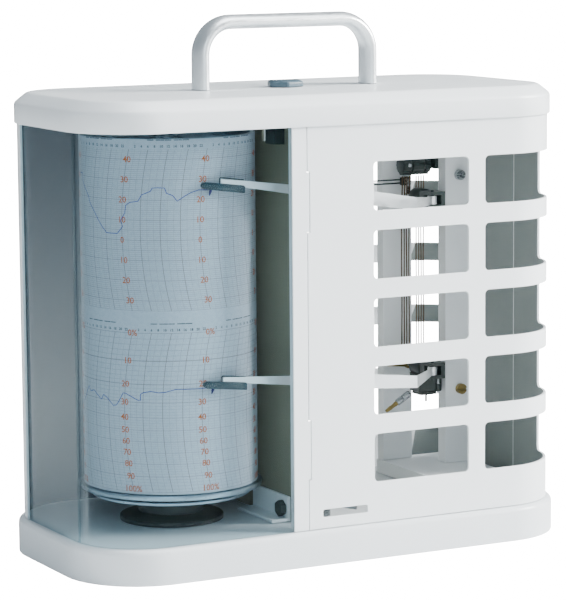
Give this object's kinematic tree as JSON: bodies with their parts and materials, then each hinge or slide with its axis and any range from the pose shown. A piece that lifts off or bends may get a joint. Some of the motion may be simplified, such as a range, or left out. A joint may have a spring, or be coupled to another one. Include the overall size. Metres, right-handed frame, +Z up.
{
  "type": "thermohygrograph",
  "caption": "Recording thermohygrograph: a clock-driven chart drum and sprung pen arms under a lift-off hood with louvres, clear windows and a carrying handle.",
  "frame": {"origin": "centre of the footprint, on the surface that the feet stand on", "axes": "+X along the long front towards the louvres, +Y to the back, +Z up"},
  "size_m": [0.2916, 0.142, 0.2894],
  "materials": {
    "white_paint": "white enamel, fine satin texture",
    "frame_paint": "grey satin paint",
    "aluminium": "satin anodised",
    "steel": "turned steel",
    "brass": "dull brass",
    "black_oxide": "blackened metal with a green cast",
    "pen_plastic": "dark blue-green felt pen cartridge",
    "knob_plastic": "blue-grey moulded cap",
    "rubber": "matt rubber",
    "chart": "printed chart paper",
    "hair": "brown hair strands",
    "window": "clear acrylic sheet"
  },
  "bodies": {
    "chassis": {"base_tray": "white_paint", "foot_front_left": "rubber", "foot_front_right": "rubber", "foot_rear_left": "rubber", "foot_rear_right": "rubber", "mechanism_foot": "frame_paint", "rear_upright": "frame_paint", "front_upright": "frame_paint", "mechanism_top_plate": "frame_paint", "sensor_beam": "frame_paint", "divider_plate": "frame_paint", "divider_guide": "black_oxide", "divider_angle": "white_paint", "divider_nut": "black_oxide", "drum_pedestal": "black_oxide", "drum_spindle": "steel", "sun_gear": "brass", "hood_post": "steel", "temperature_block": "black_oxide", "humidity_block": "black_oxide", "humidity_stop": "black_oxide", "spring_rod": "steel", "frame_screw_upper": "steel", "frame_screw_lower": "brass", "hair_clamp_upper": "black_oxide", "hair_clamp_arm": "black_oxide", "hair_clamp_lower": "brass", "hair_bundle_left": "hair", "hair_bundle_right": "hair", "bimetal_strip": "brass"},
    "hood": {"hood_lid": "white_paint", "louvre_front": "white_paint", "louvre_rear": "white_paint", "front_post": "white_paint", "rear_wall": "white_paint", "window_front": "window", "window_end": "window", "carrying_handle": "aluminium"},
    "knob": {"hood_knob": "knob_plastic"},
    "drum": {"drum_shell": "aluminium", "drum_rim": "aluminium", "chart_paper": "chart", "chart_clip": "steel", "clock_movement": "aluminium", "drum_nut": "steel"},
    "pinion": {"drive_pinion": "brass"},
    "temperature": {"temperature_shaft": "steel", "temperature_hub": "black_oxide"},
    "temperature_pen_arm": {"temperature_arm": "aluminium", "temperature_pen": "pen_plastic"},
    "link": {"temperature_link": "black_oxide"},
    "humidity": {"humidity_shaft": "steel", "humidity_hub": "black_oxide", "hair_lever": "brass"},
    "humidity_pen_arm": {"humidity_arm": "aluminium", "humidity_pen": "pen_plastic"},
    "lift": {"pen_lift_bar": "steel", "pen_lift_lever": "steel"},
    "temperature_screw": {"temperature_adjuster": "steel"},
    "humidity_screw": {"humidity_adjuster": "steel"}
  },
  "joints": [
    {"name": "hood_lift", "type": "slide", "parent": "chassis", "child": "hood", "axis": [0, 0, 1], "range_m": [0, 0.25]},
    {"name": "knob_turn", "type": "hinge", "parent": "hood", "child": "knob", "pos_m": [0, 0, 0.25], "axis": [0, 0, 1], "continuous": true},
    {"name": "drum_turn", "type": "hinge", "parent": "chassis", "child": "drum", "pos_m": [-0.0715, 0, 0.12], "axis": [0, 0, 1], "continuous": true},
    {"name": "pinion_turn", "type": "hinge", "parent": "drum", "child": "pinion", "pos_m": [-0.0463, 0, 0.0455], "axis": [0, 0, 1], "continuous": true},
    {"name": "temperature_swing", "type": "hinge", "parent": "chassis", "child": "temperature", "pos_m": [0.1005, 0.03, 0.1815], "axis": [0, 1, 0], "range_deg": [-20, 7], "stiffness_Nm_per_rad": 1},
    {"name": "temperature_gate", "type": "hinge", "parent": "temperature", "child": "temperature_pen_arm", "pos_m": [0.0985, 0.0105, 0.1815], "axis": [0, 0, 1], "range_deg": [0, 1.6]},
    {"name": "temperature_link_slide", "type": "slide", "parent": "chassis", "child": "link", "axis": [1, 0, 0], "range_m": [-0.003, 0.0012]},
    {"name": "humidity_swing", "type": "hinge", "parent": "chassis", "child": "humidity", "pos_m": [0.1005, 0.03, 0.084], "axis": [0, 1, 0], "range_deg": [-17.5, 8], "stiffness_Nm_per_rad": 1},
    {"name": "humidity_gate", "type": "hinge", "parent": "humidity", "child": "humidity_pen_arm", "pos_m": [0.0985, 0.0105, 0.084], "axis": [0, 0, 1], "range_deg": [0, 1.6]},
    {"name": "pen_lift_turn", "type": "hinge", "parent": "chassis", "child": "lift", "pos_m": [-0.001, -0.046, 0.03], "axis": [0, 0, 1], "range_deg": [-48, 0]},
    {"name": "temperature_adjust", "type": "hinge", "parent": "chassis", "child": "temperature_screw", "pos_m": [0.0935, 0.0265, 0.175], "axis": [1, 0, 0], "continuous": true},
    {"name": "humidity_adjust", "type": "hinge", "parent": "chassis", "child": "humidity_screw", "pos_m": [0.0935, 0.0265, 0.075], "axis": [1, 0, 0], "continuous": true}
  ],
  "couplings": [
    {"joint": "pinion_turn", "follows": "drum_turn", "ratio": 2.5},
    {"joint": "temperature_link_slide", "follows": "temperature_swing", "m_per_rad": 0.008},
    {"joint": "temperature_gate", "follows": "pen_lift_turn", "ratio": -0.03125},
    {"joint": "humidity_gate", "follows": "pen_lift_turn", "ratio": -0.03125}
  ]
}
